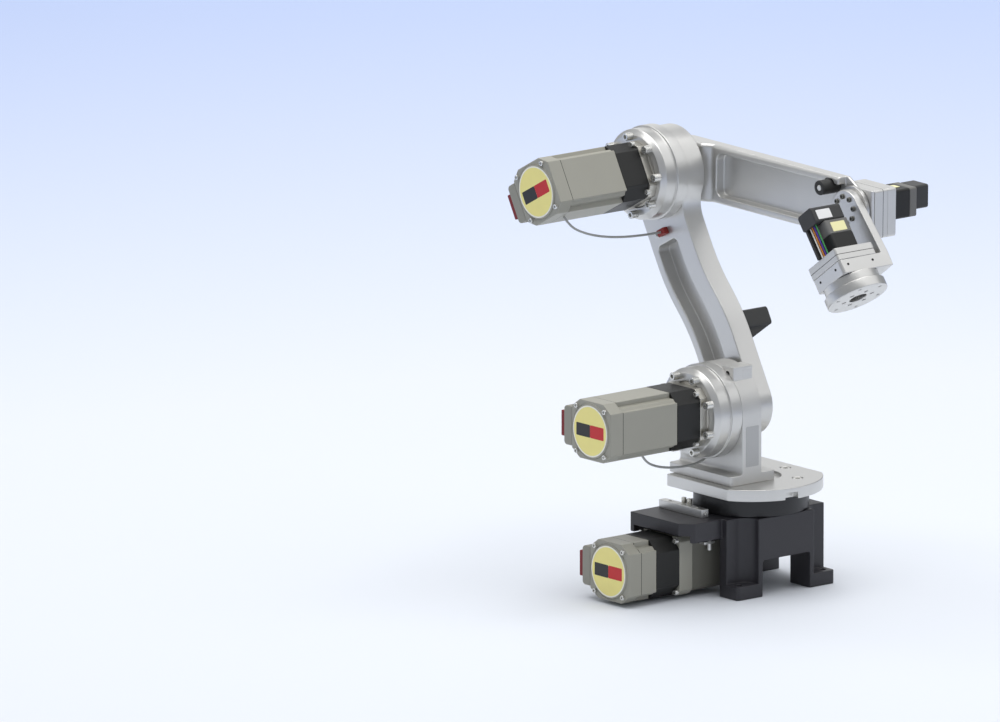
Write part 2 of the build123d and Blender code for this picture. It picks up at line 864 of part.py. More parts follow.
def save_lower_arm():
    """Write the lower arm with the elbow drive on its head."""
    save(lower_frame * make_lower_arm(), "lower_arm_link")
    save(lower_frame * make_bumper(), "lower_arm_bumper")
    save(elbow_frame * make_clip(), "elbow_lead_clip")
    save_drive("elbow", elbow_frame * Pos(0, lower_near, 0))
    save(elbow_frame * make_lead(elbow_lead_points), "elbow_lead")


def save_forearm():
    """Write the forearm and the wrist drive behind its end."""
    save(forearm_frame * make_forearm(), "forearm_channel")
    save(forearm_frame * make_knob(), "wrist_stop_knob")
    seat = forearm_frame * Pos(forearm_length, forearm_far, -pitch_case_drop)
    drive = seat * Rot(-90, 0, 0) * Rot(0, 0, 180)
    plate_level = rotary_case_thick + rotary_plate_thick
    save(drive * rotary_layer(0, rotary_case_thick), "pitch_case")
    save(drive * rotary_layer(rotary_case_thick, plate_level), "pitch_plate")
    motor = drive * Pos(0, small_motor_rise, plate_level)
    band_level = small_stator_length + small_band_length
    save(motor * small_motor_layer(0, small_stator_length, 0), "pitch_motor_stator")
    save(motor * small_motor_layer(small_stator_length, band_level, 0), "pitch_motor_band")
    cap = small_motor_layer(band_level, band_level + small_cap_length, small_cap_inset)
    save(motor * Pos(0, small_cap_inset, 0) * cap, "pitch_motor_cap")


def save_wrist():
    """Write the wrist bracket and the tool drive."""
    save(wrist_frame * make_pitch_table(), "pitch_table")
    save(wrist_frame * make_bracket(), "wrist_bracket")
    case = Pos(0, tool_y, -bracket_foot_top) * rotary_layer(0, tool_case_thick)
    save(wrist_frame * case, "tool_case")
    motor = wrist_frame * Pos(tool_motor_forward, tool_motor_y, tool_case_top)
    cap_level = tool_stator_length + tool_band_length
    save(motor * small_motor_layer(0, tool_stator_length, 0), "tool_motor_stator")
    save(motor * small_motor_layer(tool_stator_length, cap_level, 0), "tool_motor_band")
    save(wrist_frame * make_tool_cap(), "tool_motor_cap")
    save(wrist_frame * make_tool_cover(), "tool_wire_cover")
    save(wrist_frame * make_tool_wires(), "tool_motor_wires")


def save_tool():
    """Write what turns about the tool axis."""
    save(wrist_frame * make_tool_table(), "tool_table")
    save(wrist_frame * make_tool_flange(), "tool_flange")


os.makedirs("parts", exist_ok=True)
save_base()
save_turret()
save_lower_arm()
save_forearm()
save_wrist()
save_tool()
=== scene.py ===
import json
import math

import bmesh
import bpy
from mathutils import Matrix, Vector
from mathutils.bvhtree import BVHTree


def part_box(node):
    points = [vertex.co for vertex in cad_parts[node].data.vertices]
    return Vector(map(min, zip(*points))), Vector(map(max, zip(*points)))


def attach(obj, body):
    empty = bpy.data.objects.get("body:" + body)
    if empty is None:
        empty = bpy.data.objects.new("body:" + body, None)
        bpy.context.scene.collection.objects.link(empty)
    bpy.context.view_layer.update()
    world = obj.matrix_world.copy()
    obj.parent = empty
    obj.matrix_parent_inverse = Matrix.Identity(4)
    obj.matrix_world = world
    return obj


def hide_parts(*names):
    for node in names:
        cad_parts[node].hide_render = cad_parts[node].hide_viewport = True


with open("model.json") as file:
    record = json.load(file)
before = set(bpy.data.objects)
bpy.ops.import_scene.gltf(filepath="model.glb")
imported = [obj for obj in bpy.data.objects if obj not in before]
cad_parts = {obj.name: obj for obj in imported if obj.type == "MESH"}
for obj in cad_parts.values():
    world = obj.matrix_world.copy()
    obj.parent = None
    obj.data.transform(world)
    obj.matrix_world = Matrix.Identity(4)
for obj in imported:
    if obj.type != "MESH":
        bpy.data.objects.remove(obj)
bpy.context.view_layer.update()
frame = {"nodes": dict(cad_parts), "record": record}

bl_info = {
    "name": "Jointed robot arm",
    "version": (1, 0, 0),
    "blender": (4, 5, 0),
    "location": "3D View > Sidebar > Robot arm",
    "description": "Finishes, screws, labels and leads of a small jointed robot arm",
    "category": "Object",
}

MM = 0.001
# Points of a CAD mesh closer than this are one point
WELD = 0.002 * MM
# Facets that turn less than this are one face
FLAT_TURN = math.radians(0.4)
# Edges that turn more than this are rounded
SHARP_EDGE = math.radians(28)
# Edges that turn more than this after rounding keep a hard shade
HARD_EDGE = math.radians(50)
# Half the width of a drawn parting line, a dark line of painted shade
SHADE_LINE_HALF = 0.35 * MM
# Floor that reaches behind the arm in a low view, in metres
FLOOR_RADIUS = 9.0
# The photograph's size, and the place of the base axis in it, in pixels
PHOTO_WIDTH, PHOTO_HEIGHT = 1000, 722
AXIS_PIXEL = (751, 583)
# What one pixel of the photograph spans at the base axis
PIXEL = 1.0 * MM
SENSOR_MM = 36.0
# Middle of the arm, which every light faces
LIGHT_AIM = Vector((-0.02, -0.03, 0.22))
NEAR = Vector((0, -1, 0))
UP = Vector((0, 0, 1))
RECORD = frame["record"]
BODY_OF = {node: body for body, names in RECORD["behaviour"]["bodies"].items() for node in names}
JOINTS = {joint["name"]: joint for joint in RECORD["behaviour"]["joints"]}


def linear(code):
    """Linear colour of an sRGB hex value, with full alpha."""
    parts = [int(code[place : place + 2], 16) / 255 for place in (0, 2, 4)]
    bent = [part / 12.92 if part <= 0.04045 else ((part + 0.055) / 1.055) ** 2.4 for part in parts]
    return (*bent, 1.0)


def about_y(place, degrees):
    """Frame at a joint, turned about the sideways axis."""
    return Matrix.Translation(Vector(place)) @ Matrix.Rotation(math.radians(degrees), 4, "Y")


# Frames of the drives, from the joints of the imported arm. The lean of the lower
# arm is read from the places of the two joints at its ends.
SHOULDER = Vector(JOINTS["shoulder_swing"]["pos_m"])
ELBOW = Vector(JOINTS["elbow_swing"]["pos_m"])
WRIST = Vector(JOINTS["wrist_pitch"]["pos_m"])
TOOL_AXIS = Vector(JOINTS["tool_roll"]["axis"])
ARM_LEAN = math.degrees(math.atan2(ELBOW.x - SHOULDER.x, ELBOW.z - SHOULDER.z))
TOOL_TILT = -math.degrees(math.atan2(TOOL_AXIS.x, -TOOL_AXIS.z))
SHOULDER_FRAME = about_y(SHOULDER, 0)
ELBOW_FRAME = about_y(ELBOW, ARM_LEAN)
WRIST_FRAME = about_y(WRIST, TOOL_TILT)
WRIST_FORWARD = WRIST_FRAME.to_3x3() @ Vector((1, 0, 0))
TURN_AXIS = Vector((JOINTS["base_turn"]["pos_m"][0], 0, 0))
BASE_MOTOR_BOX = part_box("base_motor_stator")
BASE_MOTOR_MIDDLE = (BASE_MOTOR_BOX[0] + BASE_MOTOR_BOX[1]) / 2
BASE_MOTOR_FRAME = about_y((BASE_MOTOR_MIDDLE.x, 0, BASE_MOTOR_MIDDLE.z), 0)
# Joint between the plates of the tool drive's block, as a height from the wrist in mm, where a line of
# painted shade is drawn
TOOL_SEAM = -54
# Parting lines of the drives, from the near end of each part, where lines of painted shade are drawn
HOUSING_SEAM = 17.8 * MM
FLANGE_SEAM = 17.4 * MM
PITCH_SEAM = 11 * MM
# Where a motor's grey socket ends and its red plug begins, across the motor
SOCKET_END = -42.2 * MM
# Sides of a screw's head, and the distance at which its two parts are joined
SCREW_SIDES = 28
SCREW_MERGE = 0.01 * MM
# Screws of the drives, in mm from the motor's axis
RING_SCREW_RADIUS = 39.4
DRIVE_CORNER = 25.4
BASE_CORNER = 26.2
CAP_CORNER = (21.5, 23.0)
# How far the ring's face and the cap's screw seats lie behind the near faces, in mm
RING_SETBACK = 9.0
CAP_SETBACK = 1.5
# Screws of the wrist bracket and the tool drive's block, in mm in the wrist's frame
BRACKET_FACE = 24.0
BRACKET_SCREW_RADIUS = 13.5
BLOCK_FRONT, BLOCK_SIDE, BLOCK_LEVEL = 25, -31, -66
# Seats of the turntable's screws, and the end margin of the stop bar's, in mm
SEAT_RADIUS, SEAT_LEVEL = 48, 106
SEAT_TURNS = (34, 94, 154)
BAR_MARGIN = 12
# Round labels, in mm
LABEL_RADIUS, LABEL_DISC_RADIUS = 26, 24.6
LABEL_SIDES = 72
STRIP_WIDTH, STRIP_HEIGHT, STRIP_MIDDLE = 20.9, 13, 10.5
# Routes of the leads, in mm in the frames of their drives
SHOULDER_ROUTE = (
    (0, -131, -30), (0, -126, -40.5), (0, -110, -48.5), (0, -90, -52.5),
    (0, -70, -53.5), (0, -54, -52.3), (0, -45, -48.2),
)
ELBOW_ROUTE = (
    (0, -142, -30), (-2, -137, -40), (-6, -120, -48), (-10, -100, -53), (-13, -80, -56),
    (-15.5, -60, -57.6), (-17, -42, -58.3), (-17.8, -27, -58.6), (-18, -14, -58.5),
)
# Wires of the tool motor: their colours, the first one's place and their pitch in mm
WIRE_COLOURS = ("E9E6DC", "D98A3A", "5B3FA8", "3D8A4C")
FIRST_WIRE, WIRE_PITCH = 1.2, 3.2
# Lights: name, place and size in metres, power in watts
LIGHTS = (
    ("top_light", (-0.4, -0.2, 4.2), 4.5, 172.0),
    ("key_light", (1.6, 1.3, 2.8), 3.8, 34.0),
    ("fill_light", (-2.2, -1.4, 1.4), 1.6, 4.0),
    ("back_light", (-2.8, 2.4, 1.5), 2.4, 9.5),
)
SKY_STRENGTH = 0.41


class RobotFinishes(bpy.types.PropertyGroup):
    """Colours of the arm's surfaces."""

    aluminium: bpy.props.FloatVectorProperty(
        name="Aluminium", description="Bead-blasted aluminium of links and rings",
        subtype="COLOR", size=4, default=linear("D0CFCC"), min=0, max=1)
    casting: bpy.props.FloatVectorProperty(
        name="Base casting", description="Charcoal paint of the base",
        subtype="COLOR", size=4, default=linear("2C2B30"), min=0, max=1)
    motor: bpy.props.FloatVectorProperty(
        name="Motor housing", description="Warm grey paint of the motors",
        subtype="COLOR", size=4, default=linear("9B998E"), min=0, max=1)
    stator: bpy.props.FloatVectorProperty(
        name="Stator", description="Blackened plates of the stators",
        subtype="COLOR", size=4, default=linear("232322"), min=0, max=1)
    gear: bpy.props.FloatVectorProperty(
        name="Gear case", description="Plated steel of the gear cases",
        subtype="COLOR", size=4, default=linear("BDBAB2"), min=0, max=1)
    label: bpy.props.FloatVectorProperty(
        name="Label", description="Pale yellow film of the round labels",
        subtype="COLOR", size=4, default=linear("F1E58E"), min=0, max=1)
    edge_round: bpy.props.FloatProperty(
        name="Edge round", description="Rounding of machined edges",
        unit="LENGTH", default=0.5 * MM, min=0, precision=5)


class RobotScrews(bpy.types.PropertyGroup):
    """Sizes of the screws."""

    ring_head: bpy.props.FloatProperty(
        name="Ring screw head", description="Head diameter of the screws round the drive rings",
        unit="LENGTH", default=8.0 * MM, min=0, precision=5)
    ring_height: bpy.props.FloatProperty(
        name="Ring screw height", description="Head height of the screws round the drive rings",
        unit="LENGTH", default=8.0 * MM, min=0, precision=5)
    ring_count: bpy.props.IntProperty(
        name="Ring screws", description="Screws round each drive ring", default=8, min=3)
    corner_head: bpy.props.FloatProperty(
        name="Corner screw head", description="Head diameter of the motor's corner screws",
        unit="LENGTH", default=5.5 * MM, min=0, precision=5)
    bracket_count: bpy.props.IntProperty(
        name="Bracket screws", description="Screws round the head of the wrist bracket", default=8, min=3)


class RobotStage(bpy.types.PropertyGroup):
    """Camera and floor."""

    azimuth: bpy.props.FloatProperty(
        name="Azimuth", description="Camera angle round the arm, in degrees", default=50.0)
    elevation: bpy.props.FloatProperty(
        name="Elevation", description="Camera angle above the floor, in degrees", default=12.4)
    distance: bpy.props.FloatProperty(
        name="Distance", description="From the camera to the base axis", unit="LENGTH", default=25.0)
    floor: bpy.props.FloatVectorProperty(
        name="Floor", description="Pale floor under and in front of the arm",
        subtype="COLOR", size=4, default=linear("DFE3EA"), min=0, max=1)
    backdrop: bpy.props.FloatVectorProperty(
        name="Far floor", description="Cooler floor far from the arm",
        subtype="COLOR", size=4, default=linear("C6D6FB"), min=0, max=1)


def add(tree, kind, settings=None, links=None):
    """Add a node with its settings and its links to earlier outputs."""
    node = tree.nodes.new(kind)
    for name, value in (settings or {}).items():
        if isinstance(name, str) and hasattr(node, name):
            setattr(node, name, value)
        else:
            node.inputs[name].default_value = value
    for name, output in (links or {}).items():
        tree.links.new(output, node.inputs[name])
    return node


def surface(name, settings):
    """New material with its shader, and the object coordinates for its patterns."""
    material = bpy.data.materials.new(name)
    material.use_nodes = True
    tree = material.node_tree
    tree.nodes.clear()
    shader = add(tree, "ShaderNodeBsdfPrincipled", settings)
    add(tree, "ShaderNodeOutputMaterial", None, {"Surface": shader.outputs["BSDF"]})
    place = add(tree, "ShaderNodeTexCoord").outputs["Object"]
    return material, tree, shader, place


def per_metre(size_mm):
    """Texture scale for a pattern whose features are this many millimetres wide."""
    return 1000.0 / size_mm


def dimmed(colour, share):
    """Darker or lighter shade of a colour."""
    return (*[min(1.0, part * share) for part in colour[:3]], 1.0)


def clouded(tree, shader, place, size_mm, shades, roughness):
    """Let a surface drift between two shades and two roughnesses, and give its colour."""
    cloud = add(
        tree, "ShaderNodeTexNoise", {"Scale": per_metre(size_mm), "Detail": 3.0}, {"Vector": place}
    ).outputs["Fac"]
    colour = add(
        tree, "ShaderNodeMix", {"data_type": "RGBA", 6: shades[0], 7: shades[1]}, {0: cloud}
    ).outputs[2]
    rough = add(
        tree, "ShaderNodeMapRange", {"To Min": roughness[0], "To Max": roughness[1]}, {"Value": cloud}
    ).outputs["Result"]
    tree.links.new(colour, shader.inputs["Base Color"])
    tree.links.new(rough, shader.inputs["Roughness"])
    return colour


def grained(tree, shader, place, size_mm, strength):
    """Give a surface a fine relief, a tenth as deep as it is wide."""
    fine = add(
        tree, "ShaderNodeTexNoise", {"Scale": per_metre(size_mm), "Detail": 2.0}, {"Vector": place}
    ).outputs["Fac"]
    bump = add(
        tree, "ShaderNodeBump", {"Strength": strength, "Distance": 0.1 * size_mm * MM}, {"Height": fine}
    ).outputs["Normal"]
    tree.links.new(bump, shader.inputs["Normal"])


def shade_lined(tree, shader, place, colour, dark, axis, levels):
    """Draw parting lines of 0.7 mm across an axis as dark lines of painted shade, standing in for the shade
    in the narrow gaps between parts.
    """
    along = add(
        tree, "ShaderNodeVectorMath", {"operation": "DOT_PRODUCT", 1: axis}, {0: place}
    ).outputs["Value"]
    for level in levels:
        line = add(
            tree, "ShaderNodeMath", {"operation": "COMPARE", 1: level, 2: SHADE_LINE_HALF}, {0: along}
        ).outputs["Value"]
        colour = add(
            tree, "ShaderNodeMix", {"data_type": "RGBA", 7: dark}, {0: line, 6: colour}
        ).outputs[2]
    tree.links.new(colour, shader.inputs["Base Color"])


def blasted_aluminium(name, colour, rough=0.42, axis=(0, 1, 0), shade_lines=(), metal=0.75):
    """Bead-blasted and clear-anodised aluminium: soft reflections, a faint cloudiness
    from handling, fine grit that breaks up the highlights, and dark lines of painted shade at the joints
    between plates."""
    # The clear oxide scatters part of the light, so it isn't a full metal to the eye
    material, tree, shader, place = surface(name, {"Metallic": metal})
    shades = (dimmed(colour, 0.93), dimmed(colour, 1.04))
    drift = clouded(tree, shader, place, 38.0, shades, (rough - 0.05, rough + 0.06))
    # The grit of blasting is about 0.1 mm wide, drawn at 0.7 mm so that it shows
    grained(tree, shader, place, 0.7, 0.07)
    # The dark lines at the joints are painted shade of the gaps between plates
    shade_lined(tree, shader, place, drift, dimmed(colour, 0.15), axis, shade_lines)
    return material


def milled_aluminium(name, colour, direction):
    """Milled aluminium: long faint tool marks along one direction."""
    material, tree, shader, place = surface(name, {"Metallic": 1.0})
    stretch = add(tree, "ShaderNodeMapping", {"Scale": direction}, {"Vector": place}).outputs["Vector"]
    # Tool marks are about 0.2 mm apart, drawn at 1.2 mm so that they show
    clouded(tree, shader, stretch, 1.2, (dimmed(colour, 0.95), dimmed(colour, 1.03)), (0.26, 0.42))
    grained(tree, shader, stretch, 1.2, 0.1)
    return material


def powder_paint(name, colour, rough, peel_mm, metallic=0.0):
    """Powder coat or plating: even colour, a fine orange peel and duller patches."""
    material, tree, shader, place = surface(name, {"Metallic": metallic})
    shades = (dimmed(colour, 0.92), dimmed(colour, 1.06))
    clouded(tree, shader, place, 45.0, shades, (rough - 0.05, rough + 0.07))
    grained(tree, shader, place, peel_mm, 0.18)
    return material


def motor_paint(name, colour, shade_lines):
    """Warm grey paint on a die-cast motor, with dark lines of painted shade at some places along Y, where
    parts meet.
    """
    material, tree, shader, place = surface(name, {"Specular IOR Level": 0.45})
    shades = (dimmed(colour, 0.95), dimmed(colour, 1.04))
    drift = clouded(tree, shader, place, 40.0, shades, (0.36, 0.48))
    grained(tree, shader, place, 1.6, 0.1)
    # The dark lines at the parting lines are painted shade of the gaps between parts
    shade_lined(tree, shader, place, drift, dimmed(colour, 0.12), (0, 1, 0), shade_lines)
    return material


def stacked_plates(name, colour, axis):
    """Blackened steel plates pressed into a stack: fine lines across one axis."""
    material, tree, shader, place = surface(name, {"Metallic": 0.35})
    clouded(tree, shader, place, 14.0, (dimmed(colour, 0.85), dimmed(colour, 1.15)), (0.38, 0.5))
    along = add(
        tree, "ShaderNodeVectorMath", {"operation": "DOT_PRODUCT", 1: axis}, {0: place}
    ).outputs["Value"]
    # The plates are 0.5 mm thick, drawn at 1 mm so that they show
    wave = add(
        tree, "ShaderNodeMath", {"operation": "MULTIPLY", 1: 2 * math.pi * per_metre(1.0)}, {0: along}
    ).outputs["Value"]
    ridge = add(tree, "ShaderNodeMath", {"operation": "SINE"}, {0: wave}).outputs["Value"]
    bump = add(tree, "ShaderNodeBump", {"Strength": 0.15, "Distance": 0.1 * MM}, {"Height": ridge})
    tree.links.new(bump.outputs["Normal"], shader.inputs["Normal"])
    return material


def moulded(name, colour, rough, grain_mm=0.9):
    """Moulded plastic or rubber: dull, with a fine spark-eroded grain."""
    material, tree, shader, place = surface(name, {"Specular IOR Level": 0.4})
    shades = (dimmed(colour, 0.88), dimmed(colour, 1.12))
    clouded(tree, shader, place, 18.0, shades, (rough - 0.06, rough + 0.06))
    grained(tree, shader, place, grain_mm, 0.2)
    return material


def printed_film(name, colour):
    """Satin polyester label film, with slight yellowing."""
    material, tree, shader, place = surface(name, {"Specular IOR Level": 0.5})
    clouded(tree, shader, place, 12.0, (dimmed(colour, 0.96), dimmed(colour, 1.03)), (0.3, 0.42))
    return material


def wire_colours(name):
    """Wire insulation whose colour changes from wire to wire across the wrist."""
    material, tree, shader, place = surface(name, {"Roughness": 0.35})
    first = at(WRIST_FRAME, FIRST_WIRE, 0, 0)
    from_first = add(
        tree, "ShaderNodeVectorMath", {"operation": "SUBTRACT", 1: first}, {0: place}
    ).outputs["Vector"]
    along = add(
        tree, "ShaderNodeVectorMath", {"operation": "DOT_PRODUCT", 1: WRIST_FORWARD}, {0: from_first}
    ).outputs["Value"]
    count = len(WIRE_COLOURS)
    share = add(
        tree, "ShaderNodeMath", {"operation": "MULTIPLY", 1: per_metre(count * WIRE_PITCH)}, {0: along}
    )
    ramp = add(tree, "ShaderNodeValToRGB", None, {"Fac": share.outputs["Value"]})
    ramp.color_ramp.interpolation = "CONSTANT"
    stops = ramp.color_ramp.elements
    for index, code in enumerate(WIRE_COLOURS):
        # A new ramp has two stops
        stop = stops[index] if index < 2 else stops.new(index / count)
        stop.position = index / count
        stop.color = linear(code)
    tree.links.new(ramp.outputs["Color"], shader.inputs["Base Color"])
    return material


def new_piece(name, mesh, body, materials):
    """Put a mesh in the scene as a piece of the arm."""
    piece = bpy.data.objects.new(name, mesh)
    bpy.context.scene.collection.objects.link(piece)
    if len(mesh.materials):
        mesh.materials.clear()
    for material in materials:
        mesh.materials.append(material)
    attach(piece, body)
    return piece


def tidy_normals(piece):
    """Smooth shading that keeps flat faces flat."""
    for face in piece.data.polygons:
        face.use_smooth = True
    weighted = piece.modifiers.new("even_normals", "WEIGHTED_NORMAL")
    weighted.keep_sharp = True


def soften(node, material, width=None, segments=2, other=None, where=None):
    """Stand in for a CAD node with a copy whose sharp edges are slightly rounded.
    Faces whose centre passes the where test get the other finish."""
    finishes = bpy.context.scene.robot_finishes
    width = finishes.edge_round if width is None else width
    mesh = frame["nodes"][node].data.copy()
    cut = bmesh.new()
    cut.from_mesh(mesh)
    bmesh.ops.remove_doubles(cut, verts=cut.verts, dist=WELD)
    bmesh.ops.dissolve_limit(cut, angle_limit=FLAT_TURN, verts=cut.verts, edges=cut.edges)
    edges = [
        edge
        for edge in cut.edges
        if len(edge.link_faces) == 2 and edge.calc_face_angle() > SHARP_EDGE
    ]
    surface_before = BVHTree.FromBMesh(cut)
    bmesh.ops.bevel(
        cut, geom=edges, offset=width, segments=segments, profile=0.5, affect="EDGES",
        clamp_overlap=False,
    )
    for point in cut.verts:
        # Where edges meet at a shallow angle the rounding can shoot past the part
        nearest, _, _, distance = surface_before.find_nearest(point.co)
        if distance > width:
            point.co = nearest
    bmesh.ops.triangulate(cut, faces=[face for face in cut.faces if len(face.verts) > 4])
    for edge in cut.edges:
        edge.smooth = not (len(edge.link_faces) == 2 and edge.calc_face_angle(0) > HARD_EDGE)
    cut.to_mesh(mesh)
    cut.free()
    if mesh.has_custom_normals:
        mesh.attributes.remove(mesh.attributes["custom_normal"])
    piece = new_piece(node + "_finished", mesh, BODY_OF[node], [material])
    if other:
        mesh.materials.append(other)
        for face in mesh.polygons:
            face.material_index = int(where(face.center))
    tidy_normals(piece)
    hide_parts(node)


def lathe(rings, sides):
    """Mesh turned about Z from (radius, height) pairs, closed at both ends."""
    shape = bmesh.new()
    loops = []
    for radius, height in rings:
        loops.append([
            shape.verts.new((radius * math.cos(turn), radius * math.sin(turn), height))
            for turn in (2 * math.pi * side / sides for side in range(sides))
        ])
    for low, high in zip(loops, loops[1:]):
        for side in range(sides):
            after = (side + 1) % sides
            shape.faces.new((low[side], low[after], high[after], high[side]))
    shape.faces.new(list(reversed(loops[0])))
    shape.faces.new(loops[-1])
    return shape


def plate(corners, low, high, corner_round, steps=5):
    """Flat plate with round corners, from low to high on Z. Its corners are
    (x, y) pairs, anticlockwise."""
    outline = []
    count = len(corners)
    for index in range(count):
        here = Vector(corners[index])
        before = (Vector(corners[index - 1]) - here).normalized()
        after = (Vector(corners[(index + 1) % count]) - here).normalized()
        half = before.angle(after) / 2
        start = here + before * corner_round / math.tan(half)
        end = here + after * corner_round / math.tan(half)
        centre = here + (before + after).normalized() * corner_round / math.sin(half)
        for step in range(steps + 1):
            point = start.lerp(end, step / steps) - centre
            outline.append(centre + point.normalized() * corner_round)
    shape = bmesh.new()
    bottom = [shape.verts.new((point.x, point.y, low)) for point in outline]
    top = [shape.verts.new((point.x, point.y, high)) for point in outline]
    shape.faces.new(list(reversed(bottom)))
    shape.faces.new(top)
    for index in range(len(outline)):
        after = (index + 1) % len(outline)
        shape.faces.new((bottom[index], bottom[after], top[after], top[index]))
    return shape


def placed(shape, place):
    """Turn a drawn shape into a mesh at its place on the arm."""
    shape.transform(place)
    bmesh.ops.recalc_face_normals(shape, faces=shape.faces)
    mesh = bpy.data.meshes.new("shape")
    shape.to_mesh(mesh)
    shape.free()
    return mesh


def joined(shapes, place):
    """One mesh at its place from several drawn shapes, each with its own material."""
    whole = bmesh.new()
    for index, shape in enumerate(shapes):
        for face in shape.faces:
            face.material_index = index
        part = bpy.data.meshes.new("part")
        shape.to_mesh(part)
        shape.free()
        whole.from_mesh(part)
        bpy.data.meshes.remove(part)
    return placed(whole, place)


def slab(width, height, low, high, corner_round, middle=(0, 0)):
    """Rectangular plate about a middle point, all in millimetres."""
    across, along = width / 2, height / 2
    corners = ((-across, -along), (across, -along), (across, along), (-across, along))
    points = [((middle[0] + x) * MM, (middle[1] + y) * MM) for x, y in corners]
    return plate(points, low * MM, high * MM, corner_round * MM)


def looking(place, facing, upright):
    """Frame at a place whose Z looks out along facing and whose Y is near upright."""
    out = Vector(facing).normalized()
    side = Vector(upright).cross(out).normalized()
    turn = Matrix((side, out.cross(side), out)).transposed().to_4x4()
    return Matrix.Translation(Vector(place)) @ turn


def at(link, x, y, z):
    """Place in metres of a point given in millimetres in a link's frame."""
    return link @ Vector((x * MM, y * MM, z * MM))


def screw_tree():
    """Geometry nodes that set a socket-head screw on every point, along its facing."""
    tree = bpy.data.node_groups.new("socket_screws", "GeometryNodeTree")
    face = tree.interface
    face.new_socket("Geometry", in_out="OUTPUT", socket_type="NodeSocketGeometry")
    face.new_socket("Geometry", in_out="INPUT", socket_type="NodeSocketGeometry")
    for name in ("Head radius", "Head height", "Edge", "Socket radius", "Socket depth"):
        face.new_socket(name, in_out="INPUT", socket_type="NodeSocketFloat")
    face.new_socket("Material", in_out="INPUT", socket_type="NodeSocketMaterial")
    given = add(tree, "NodeGroupInput").outputs

    def worked_out(operation, first, second):
        return add(tree, "ShaderNodeMath", {"operation": operation}, {0: first, 1: second}).outputs["Value"]

    def lifted(mesh, height):
        offset = add(tree, "ShaderNodeCombineXYZ", None, {"Z": height}).outputs["Vector"]
        return add(
            tree, "GeometryNodeTransform", None, {"Geometry": mesh, "Translation": offset}
        ).outputs["Geometry"]

    body_height = worked_out("SUBTRACT", given["Head height"], given["Edge"])
    top_radius = worked_out("SUBTRACT", given["Head radius"], given["Edge"])
    body = add(
        tree, "GeometryNodeMeshCone", {"Vertices": SCREW_SIDES},
        {"Radius Top": given["Head radius"], "Radius Bottom": given["Head radius"], "Depth": body_height},
    ).outputs
    edge = add(
        tree, "GeometryNodeMeshCone", {"Vertices": SCREW_SIDES},
        {"Radius Top": top_radius, "Radius Bottom": given["Head radius"], "Depth": given["Edge"]},
    ).outputs
    body, edge = (
        add(
            tree, "GeometryNodeDeleteGeometry", {"domain": "FACE", "mode": "ONLY_FACE"},
            {"Geometry": part["Mesh"], "Selection": part[shared]},
        ).outputs["Geometry"]
        for part, shared in ((body, "Top"), (edge, "Bottom"))
    )
    both = add(tree, "GeometryNodeJoinGeometry")
    for part in (body, lifted(edge, body_height)):
        tree.links.new(part, both.inputs["Geometry"])
    head = add(
        tree, "GeometryNodeMergeByDistance", {"Distance": SCREW_MERGE}, {"Geometry": both.outputs["Geometry"]}
    )
    twice = worked_out("ADD", given["Socket depth"], given["Socket depth"])
    socket = add(
        tree, "GeometryNodeMeshCylinder", {"Vertices": 6}, {"Radius": given["Socket radius"], "Depth": twice}
    ).outputs["Mesh"]
    socket = lifted(socket, given["Head height"])
    hollow = add(
        tree, "GeometryNodeMeshBoolean", {"operation": "DIFFERENCE"}, {"Mesh 1": head.outputs["Geometry"]}
    )
    tree.links.new(socket, hollow.inputs["Mesh 2"])
    facing = add(tree, "GeometryNodeInputNamedAttribute", {"data_type": "FLOAT_VECTOR", "Name": "facing"})
    turn = add(
        tree, "FunctionNodeAlignRotationToVector", {"axis": "Z"}, {"Vector": facing.outputs["Attribute"]}
    )
    copies = add(
        tree, "GeometryNodeInstanceOnPoints", None,
        {
            "Points": given["Geometry"], "Instance": hollow.outputs["Mesh"],
            "Rotation": turn.outputs["Rotation"],
        },
    )
    real = add(tree, "GeometryNodeRealizeInstances", None, {"Geometry": copies.outputs["Instances"]})
    dressed = add(
        tree, "GeometryNodeSetMaterial", None,
        {"Geometry": real.outputs["Geometry"], "Material": given["Material"]},
    )
    add(tree, "NodeGroupOutput", None, {"Geometry": dressed.outputs["Geometry"]})
    return tree


def set_screws(name, body, places, sizes, material):
    """Screws at (place, facing) pairs on one body. Sizes in metres."""
    tree = bpy.data.node_groups.get("socket_screws") or screw_tree()
    points = bpy.data.meshes.new(name + "_points")
    points.from_pydata([place for place, _ in places], [], [])
    facing = points.attributes.new("facing", "FLOAT_VECTOR", "POINT")
    for item, (_, way) in zip(facing.data, places):
        item.vector = way
    seed = bpy.data.objects.new(name + "_points", points)
    bpy.context.scene.collection.objects.link(seed)
    maker = seed.modifiers.new("screws", "NODES")
    maker.node_group = tree
    for item in tree.interface.items_tree:
        if item.in_out == "INPUT" and item.name in sizes:
            maker[item.identifier] = sizes[item.name]
        elif item.in_out == "INPUT" and item.name == "Material":
            maker[item.identifier] = material
    mesh = bpy.data.meshes.new_from_object(seed.evaluated_get(bpy.context.evaluated_depsgraph_get()))
    bpy.data.objects.remove(seed)
    mesh.name = name
    new_piece(name, mesh, body, [material])


def around(count, radius):
    """Evenly spread (x, z) places on a circle, the first half a step on."""
    turns = [2 * math.pi * (index + 0.5) / count for index in range(count)]
    return [(radius * math.cos(turn), radius * math.sin(turn)) for turn in turns]


def screw_sizes(head, height, socket=0.28, edge=0.3 * MM):
    """Inputs of one kind of screw, from its head's diameter and height."""
    return {
        "Head radius": head / 2, "Head height": height, "Edge": edge,
        "Socket radius": head * socket, "Socket depth": min(height * 0.7, head * 0.4),
    }


